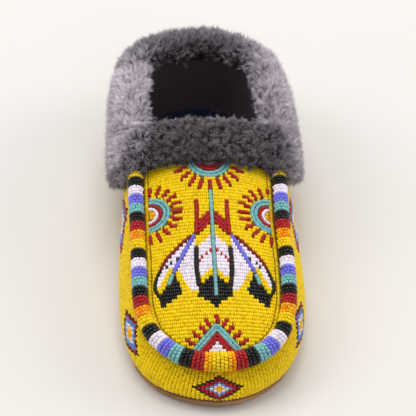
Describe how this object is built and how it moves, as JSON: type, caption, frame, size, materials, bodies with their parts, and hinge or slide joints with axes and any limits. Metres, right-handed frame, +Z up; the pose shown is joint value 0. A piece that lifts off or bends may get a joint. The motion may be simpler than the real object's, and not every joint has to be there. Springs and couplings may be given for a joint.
{
  "type": "beaded moccasin",
  "caption": "Slipper moccasin with a fully beaded hollow upper, a raised beaded roll round the apron, a fur cuff at the collar, an insole and a thin leather outsole.",
  "frame": {"origin": "on the floor under the forefoot's flat, in the middle of the sole's length and between its sides", "axes": "+Z up, -Y towards the toe, +Y towards the heel, -X towards the medial side"},
  "size_m": [0.1256, 0.2827, 0.0826],
  "materials": {
    "sole_leather": "matt tan leather",
    "fleece": "dark blue fleece",
    "beadwork": "small glossy glass seed beads, opaque yellow, with red, teal, white, black and blue ornament",
    "roll_beads": "small glossy glass seed beads in bands of colour",
    "fur": "grey sheared fur"
  },
  "bodies": {
    "root": {"outsole": "sole_leather", "insole": "fleece", "upper": "beadwork", "roll": "roll_beads", "fur_cuff": "fur"}
  },
  "joints": []
}
